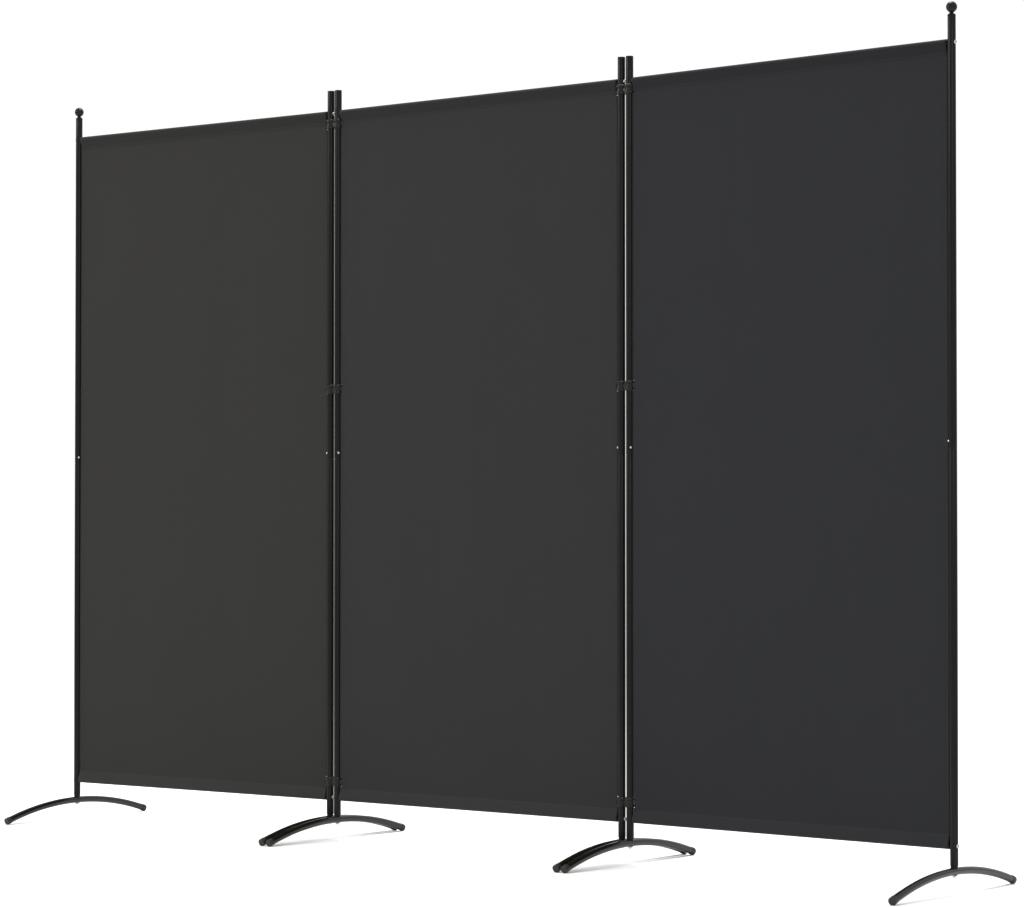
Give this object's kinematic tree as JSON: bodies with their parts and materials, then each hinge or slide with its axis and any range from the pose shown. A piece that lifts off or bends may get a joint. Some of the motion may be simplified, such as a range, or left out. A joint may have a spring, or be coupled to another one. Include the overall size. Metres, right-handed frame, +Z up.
{
  "type": "folding room divider screen",
  "caption": "Free-standing folding screen: charcoal fabric panels in black tube frames on arched feet, joined by plastic hinge clips.",
  "frame": {"origin": "on the floor, under the centre of the bounding box", "axes": "+X along the screen, towards the right end seen from the front; -Y towards the front, the side that the two end panels are turned to; +Z up"},
  "size_m": [2.5948, 0.5188, 1.8089],
  "materials": {
    "post_paint": "gloss black powder coat",
    "foot_paint": "gloss black powder coat with plastic end caps",
    "charcoal_fabric": "plain woven polyester, matt",
    "clip_plastic": "moulded black nylon",
    "finial_plastic": "moulded gloss black",
    "zinc_bolts": "bright zinc plate",
    "spring_steel": "bare spring steel"
  },
  "bodies": {
    "left_hinge": {"left_bottom_hinge_clip": "clip_plastic", "left_middle_hinge_clip": "clip_plastic", "left_top_hinge_clip": "clip_plastic"},
    "middle_panel": {"middle_panel_left_post_lower_tube": "post_paint", "middle_panel_left_post_upper_tube": "post_paint", "middle_panel_left_post_bottom_rail_bolt": "zinc_bolts", "middle_panel_left_post_top_rail_bolt": "zinc_bolts", "middle_panel_left_post_foot_bolt": "zinc_bolts", "middle_panel_right_post_lower_tube": "post_paint", "middle_panel_right_post_upper_tube": "post_paint", "middle_panel_right_post_bottom_rail_bolt": "zinc_bolts", "middle_panel_right_post_top_rail_bolt": "zinc_bolts", "middle_panel_right_post_foot_bolt": "zinc_bolts", "middle_panel_bottom_rail": "post_paint", "middle_panel_top_rail": "post_paint", "middle_panel_fabric": "charcoal_fabric"},
    "left_panel": {"left_panel_left_post_lower_tube": "post_paint", "left_panel_left_post_upper_tube": "post_paint", "left_panel_left_post_bottom_rail_bolt": "zinc_bolts", "left_panel_left_post_top_rail_bolt": "zinc_bolts", "left_panel_left_post_foot_bolt": "zinc_bolts", "left_panel_left_post_ball_finial": "finial_plastic", "left_panel_right_post_lower_tube": "post_paint", "left_panel_right_post_upper_tube": "post_paint", "left_panel_right_post_bottom_rail_bolt": "zinc_bolts", "left_panel_right_post_top_rail_bolt": "zinc_bolts", "left_panel_right_post_foot_bolt": "zinc_bolts", "left_panel_bottom_rail": "post_paint", "left_panel_top_rail": "post_paint", "left_panel_fabric": "charcoal_fabric"},
    "right_panel": {"right_panel_left_post_lower_tube": "post_paint", "right_panel_left_post_upper_tube": "post_paint", "right_panel_left_post_bottom_rail_bolt": "zinc_bolts", "right_panel_left_post_top_rail_bolt": "zinc_bolts", "right_panel_left_post_foot_bolt": "zinc_bolts", "right_panel_right_post_lower_tube": "post_paint", "right_panel_right_post_upper_tube": "post_paint", "right_panel_right_post_bottom_rail_bolt": "zinc_bolts", "right_panel_right_post_top_rail_bolt": "zinc_bolts", "right_panel_right_post_foot_bolt": "zinc_bolts", "right_panel_right_post_ball_finial": "finial_plastic", "right_panel_bottom_rail": "post_paint", "right_panel_top_rail": "post_paint", "right_panel_fabric": "charcoal_fabric"},
    "right_hinge": {"right_bottom_hinge_clip": "clip_plastic", "right_middle_hinge_clip": "clip_plastic", "right_top_hinge_clip": "clip_plastic"},
    "left_panel_left_post_foot": {"left_panel_left_post_foot": "foot_paint"},
    "left_panel_left_post_snap_button": {"left_panel_left_post_snap_button": "spring_steel"},
    "left_panel_right_post_foot": {"left_panel_right_post_foot": "foot_paint"},
    "left_panel_right_post_snap_button": {"left_panel_right_post_snap_button": "spring_steel"},
    "middle_panel_left_post_foot": {"middle_panel_left_post_foot": "foot_paint"},
    "middle_panel_left_post_snap_button": {"middle_panel_left_post_snap_button": "spring_steel"},
    "middle_panel_right_post_foot": {"middle_panel_right_post_foot": "foot_paint"},
    "middle_panel_right_post_snap_button": {"middle_panel_right_post_snap_button": "spring_steel"},
    "right_panel_left_post_foot": {"right_panel_left_post_foot": "foot_paint"},
    "right_panel_left_post_snap_button": {"right_panel_left_post_snap_button": "spring_steel"},
    "right_panel_right_post_foot": {"right_panel_right_post_foot": "foot_paint"},
    "right_panel_right_post_snap_button": {"right_panel_right_post_snap_button": "spring_steel"}
  },
  "joints": [
    {"name": "fold", "type": "hinge", "parent": "left_hinge", "child": "middle_panel", "pos_m": [-0.42104, 0.01862, 0], "axis": [0, 0, 1], "range_deg": [-89.1, 88.75]},
    {"name": "left_panel_fold", "type": "hinge", "parent": "left_hinge", "child": "left_panel", "pos_m": [-0.44383, 0.01826, 0], "axis": [0, 0, 1], "range_deg": [-88.75, 89.1]},
    {"name": "right_hinge_fold", "type": "hinge", "parent": "middle_panel", "child": "right_hinge", "pos_m": [0.42143, 0.01862, 0], "axis": [0, 0, 1], "range_deg": [-88.75, 89.1]},
    {"name": "right_panel_fold", "type": "hinge", "parent": "right_hinge", "child": "right_panel", "pos_m": [0.44422, 0.01812, 0], "axis": [0, 0, 1], "range_deg": [-88.75, 89.1]},
    {"name": "left_panel_left_post_foot_swivel", "type": "hinge", "parent": "left_panel", "child": "left_panel_left_post_foot", "pos_m": [-1.28588, -0.0082, 0], "axis": [0, 0, 1], "range_deg": [-89.1, 88.75]},
    {"name": "left_panel_right_post_foot_swivel", "type": "hinge", "parent": "left_panel", "child": "left_panel_right_post_foot", "pos_m": [-0.44383, 0.01826, 0], "axis": [0, 0, 1], "range_deg": [-89.1, 88.75]},
    {"name": "middle_panel_left_post_foot_swivel", "type": "hinge", "parent": "middle_panel", "child": "middle_panel_left_post_foot", "pos_m": [-0.42104, 0.01862, 0], "axis": [0, 0, 1], "range_deg": [-88.75, 89.1]},
    {"name": "middle_panel_right_post_foot_swivel", "type": "hinge", "parent": "middle_panel", "child": "middle_panel_right_post_foot", "pos_m": [0.42143, 0.01862, 0], "axis": [0, 0, 1], "range_deg": [-88.75, 89.1]},
    {"name": "right_panel_left_post_foot_swivel", "type": "hinge", "parent": "right_panel", "child": "right_panel_left_post_foot", "pos_m": [0.44422, 0.01812, 0], "axis": [0, 0, 1], "range_deg": [-89.1, 88.75]},
    {"name": "right_panel_right_post_foot_swivel", "type": "hinge", "parent": "right_panel", "child": "right_panel_right_post_foot", "pos_m": [1.28589, -0.01862, 0], "axis": [0, 0, 1], "range_deg": [-89.1, 88.75]},
    {"name": "left_panel_left_post_snap_press", "type": "slide", "parent": "left_panel", "child": "left_panel_left_post_snap_button", "axis": [-0.8368, 0.5476, 0], "range_m": [0, 0.0024], "stiffness_N_per_m": 1500, "springref_m": -0.001},
    {"name": "left_panel_right_post_snap_press", "type": "slide", "parent": "left_panel", "child": "left_panel_right_post_snap_button", "axis": [0.8007, 0.599, 0], "range_m": [0, 0.0024], "stiffness_N_per_m": 1500, "springref_m": -0.001},
    {"name": "middle_panel_left_post_snap_press", "type": "slide", "parent": "middle_panel", "child": "middle_panel_left_post_snap_button", "axis": [-0.8192, 0.5736, 0], "range_m": [0, 0.0024], "stiffness_N_per_m": 1500, "springref_m": -0.001},
    {"name": "middle_panel_right_post_snap_press", "type": "slide", "parent": "middle_panel", "child": "middle_panel_right_post_snap_button", "axis": [0.8192, 0.5736, 0], "range_m": [0, 0.0024], "stiffness_N_per_m": 1500, "springref_m": -0.001},
    {"name": "right_panel_left_post_snap_press", "type": "slide", "parent": "right_panel", "child": "right_panel_left_post_snap_button", "axis": [-0.7934, 0.6088, 0], "range_m": [0, 0.0024], "stiffness_N_per_m": 1500, "springref_m": -0.001},
    {"name": "right_panel_right_post_snap_press", "type": "slide", "parent": "right_panel", "child": "right_panel_right_post_snap_button", "axis": [0.8434, 0.5373, 0], "range_m": [0, 0.0024], "stiffness_N_per_m": 1500, "springref_m": -0.001}
  ],
  "couplings": [
    {"joint": "left_panel_fold", "follows": "fold", "ratio": -1},
    {"joint": "right_hinge_fold", "follows": "fold", "ratio": -1},
    {"joint": "right_panel_fold", "follows": "fold", "ratio": -1},
    {"joint": "left_panel_left_post_foot_swivel", "follows": "fold", "ratio": 1},
    {"joint": "left_panel_right_post_foot_swivel", "follows": "fold", "ratio": 1},
    {"joint": "middle_panel_left_post_foot_swivel", "follows": "fold", "ratio": -1},
    {"joint": "middle_panel_right_post_foot_swivel", "follows": "fold", "ratio": -1},
    {"joint": "right_panel_left_post_foot_swivel", "follows": "fold", "ratio": 1},
    {"joint": "right_panel_right_post_foot_swivel", "follows": "fold", "ratio": 1}
  ]
}
